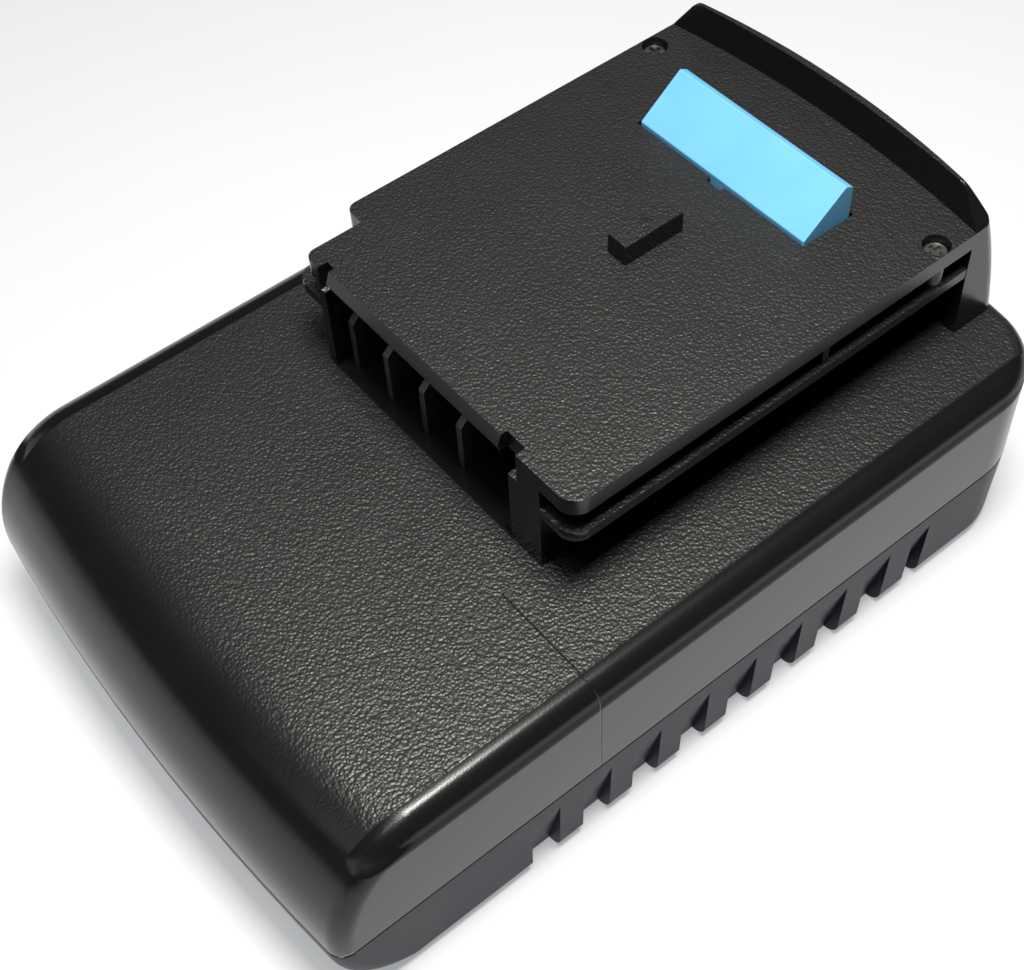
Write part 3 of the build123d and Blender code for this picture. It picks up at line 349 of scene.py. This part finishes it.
# %% Lower housing plastic
def lower_plastic():
    """Bluish dark plastic with a fine texture."""
    finish = Finish("lower_housing_plastic")
    fine = finish.noise(fine_size, 2.0, 0.6)
    patches = finish.noise(8 * mm, 2.0)
    finish.constant("Specular IOR Level", 0.15)
    return finish.set(
        Base_Color=finish.blend(patches, (0.004, 0.004, 0.012), (0.007, 0.007, 0.020)),
        Roughness=patches * 0.08 + 0.36,
        Normal=finish.bump(fine, 0.35, 0.05 * mm),
    )


housing_lower = lower_plastic()
print("made", housing_lower.name)

# %% [markdown]
# ## Latch, metal and the pieces inside
#
# The latch is a bright sky-blue moulding with a satin skin. The blades are nickel plated and have dulled, and
# the screws are dark zinc. The pieces sealed inside are never seen, but each still gets a finish of its own
# with some variation, because somebody may open the pack in another scene. All of them are either plastic or
# metal, so two recipes with a few numbers each do for the whole list.

# %% Simple finishes
def plastic(name, dark, light, rough, lump=0.4 * mm, depth=0.02 * mm):
    """Moulded plastic with a fine texture and slow patches of tone."""
    finish = Finish(name)
    patches = finish.noise(5 * mm, 2.0)
    fine = finish.noise(lump, 2.0, 0.6)
    return finish.set(
        Base_Color=finish.blend(patches, dark, light),
        Roughness=patches * 0.12 + rough,
        Normal=finish.bump(fine, 0.3, depth),
    )


def metal(name, dark, light, rough):
    """Plated or drawn metal with dull patches."""
    finish = Finish(name)
    patches = finish.noise(2.5 * mm, 3.0)
    fine = finish.noise(0.3 * mm, 2.0)
    finish.constant("Metallic", 1.0)
    return finish.set(
        Base_Color=finish.blend(patches, dark, light),
        Roughness=patches * 0.15 + rough,
        Normal=finish.bump(fine, 0.15, 0.02 * mm),
    )


finishes = {
    "housing_upper": housing_upper,
    "housing_lower": housing_lower,
    "latch_blue": plastic("latch_blue_plastic", (0.085, 0.27, 0.46), (0.10, 0.30, 0.50), 0.36),
    "inner_plastic": plastic("inner_plastic", (0.02, 0.02, 0.022), (0.04, 0.04, 0.042), 0.45),
    "holder_plastic": plastic("holder_plastic", (0.12, 0.125, 0.13), (0.16, 0.165, 0.17), 0.5),
    "spring_steel": metal("spring_wire", (0.4, 0.4, 0.4), (0.6, 0.6, 0.6), 0.25),
    "blade_nickel": metal("blade_nickel", (0.14, 0.14, 0.13), (0.30, 0.30, 0.28), 0.36),
    "strap_nickel": metal("strap_nickel", (0.5, 0.49, 0.46), (0.65, 0.64, 0.6), 0.3),
    "screw_steel": metal("screw_zinc", (0.09, 0.09, 0.09), (0.22, 0.22, 0.215), 0.30),
    "cell_sleeve": plastic("cell_sleeve", (0.02, 0.16, 0.07), (0.03, 0.2, 0.09), 0.2),
    "board_green": plastic("board_mask", (0.004, 0.05, 0.02), (0.008, 0.08, 0.03), 0.25),
    "component_black": plastic("component_black", (0.01, 0.01, 0.01), (0.025, 0.025, 0.025), 0.5),
    "insulation": plastic("insulating_paper", (0.5, 0.46, 0.34), (0.6, 0.56, 0.43), 0.8,
                          lump=0.6 * mm, depth=0.04 * mm),
    "foam": plastic("foam", (0.01, 0.01, 0.01), (0.02, 0.02, 0.02), 0.9, lump=0.8 * mm, depth=0.2 * mm),
}
node_slots = {part["node"]: part["material_slot"] for part in frame["record"]["subparts"]}
for name, node in frame["nodes"].items():
    node.data.materials.clear()
    node.data.materials.append(finishes[node_slots[name]])
print("finishes:", len(finishes), "nodes:", len(node_slots))

# %% [markdown]
# ## Mouldings with soft edges
#
# A CAD node arrives as loose triangles with knife-sharp edges. No moulding has those: every corner carries a
# radius of a few tenths of a millimetre, and the light picks it out as a thin line. So each visible moulding
# is copied, its doubled corners are merged, its flat faces are joined back into whole faces, and a narrow
# bevel goes round every hard edge. Modelling the shape again by hand would risk a different size, and this
# way keeps it exactly.

# %% Dress a moulding
merge_distance = 0.002 * mm
flat_angle = radians(0.4)
hard_angle = radians(32)


def select_only(piece):
    """Make a piece the only one selected."""
    bpy.ops.object.select_all(action="DESELECT")
    piece.select_set(True)
    bpy.context.view_layer.objects.active = piece


def dressed(node_name, body, bevel_width):
    """Copy of a CAD node with merged corners, a fine bevel and smooth shading. It stands for the node."""
    node = frame["nodes"][node_name]
    piece = bpy.data.objects.new(f"{node_name}_moulding", node.data.copy())
    bpy.context.scene.collection.objects.link(piece)
    select_only(piece)
    bpy.ops.object.mode_set(mode="EDIT")
    bpy.ops.mesh.select_all(action="SELECT")
    bpy.ops.mesh.remove_doubles(threshold=merge_distance)
    bpy.ops.mesh.dissolve_limited(angle_limit=flat_angle)
    bpy.ops.object.mode_set(mode="OBJECT")
    if bevel_width:
        bevel = piece.modifiers.new("mould_radius", "BEVEL")
        bevel.width = bevel_width
        bevel.segments = 2
        bevel.limit_method = "ANGLE"
        bevel.angle_limit = hard_angle
        bevel.use_clamp_overlap = True
        bevel.miter_outer = "MITER_ARC"
        bpy.ops.object.modifier_apply(modifier=bevel.name)
    bpy.ops.object.shade_smooth_by_angle(angle=hard_angle)
    flatten = piece.modifiers.new("flat_faces", "WEIGHTED_NORMAL")
    flatten.keep_sharp = True
    bpy.ops.object.modifier_apply(modifier=flatten.name)
    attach(piece, body)
    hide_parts(node_name)
    print(piece.name, len(piece.data.polygons), "faces")
    return piece


dressed("upper_housing", "pack", 0.16 * mm)
dressed("lower_housing", "pack", 0.2 * mm)
dressed("latch", "latch", 0.15 * mm)
for number in range(1, 5):
    dressed(f"terminal_blade_{number}", "pack", 0.08 * mm)

# %% [markdown]
# ## The latch springs
#
# Two coils of spring wire stand on the retainer under the latch and push it up. When the latch goes down its
# five millimetres, each coil gets shorter by as much, with its foot where it was. A rigid coil would run
# through the latch at that pose, and each coil here is a rigid copy of the CAD one with a mesh of its own.

# %% Latch springs
for side in ("left", "right"):
    coil = dressed(f"latch_spring_{side}", "pack", 0)
    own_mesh(coil)

# %% [markdown]
# ## A pale table
#
# Black plastic shows only what it reflects. The white table of the photograph lights the sides and the foot
# of the rolled front from below. A plain matt floor does that, and a little glow of its own keeps it pale
# where the lamps don't reach, so that they can stay weak enough for the top.

# %% Floor
floor_size = 4.0
bpy.ops.mesh.primitive_plane_add(size=floor_size)
floor = bpy.context.active_object
floor.name = "table"
table_paint = Finish("table_paint")
speckle = table_paint.noise(40 * mm)
table_paint.set(
    Base_Color=table_paint.blend(speckle, (0.29, 0.295, 0.305), (0.30, 0.305, 0.315)),
    Roughness=0.7,
)
table_paint.constant("Emission Color", (0.94, 0.97, 1, 1))
table_paint.constant("Emission Strength", 0.36)
floor.data.materials.append(table_paint.material)
print("table", floor_size, "m wide")

# %% [markdown]
# ## Soft light
#
# The grain in the photograph is lightest on the right of the top and falls away to the left and the front. A
# large lamp far overhead lights all of it alike, so the falling away comes from a small one that hangs close
# above the right edge. Two weak ones, behind on the left and in front, put a faint sheen on the plate and the
# screws. The rest of the room is dark, which draws the black bands along the rounded edges.

# %% Lamps
warm_light = (1.0, 0.98, 0.93)
plain_light = (1.0, 1.0, 1.0)
cool_light = (0.95, 0.97, 1.0)
lamps = (  # name, place, target, size, watts, colour
    ("overhead_softbox", (0.03, -0.08, 0.70), (0.03, -0.08, 0.02), (0.28, 0.44), 3.7, warm_light),
    ("close_softbox", (0.055, -0.01, 0.33), (0.055, -0.01, 0.02), (0.10, 0.10), 2.1, warm_light),
    ("back_left_softbox", (-0.35, 0.31, 0.54), (0, 0, 0.03), (0.25, 0.25), 0.12, plain_light),
    ("front_softbox", (-0.07, -0.52, 0.45), (0, 0, 0.02), (0.3, 0.3), 0.25, cool_light),
)
for name, place, target, size, power, colour in lamps:
    light = bpy.data.lights.new(name, "AREA")
    light.shape = "RECTANGLE"
    light.size, light.size_y = size
    light.energy = power
    light.color = colour
    lamp = bpy.data.objects.new(name, light)
    bpy.context.scene.collection.objects.link(lamp)
    lamp.location = Vector(place)
    lamp.rotation_euler = (Vector(place) - Vector(target)).to_track_quat("Z", "Y").to_euler()

world = bpy.data.worlds.new("studio")
world.use_nodes = True
room = world.node_tree.nodes["Background"]
room.inputs["Color"].default_value = (1, 1, 1, 1)
room.inputs["Strength"].default_value = 0.03
bpy.context.scene.world = world
print("lamps:", [name for name, *_ in lamps])
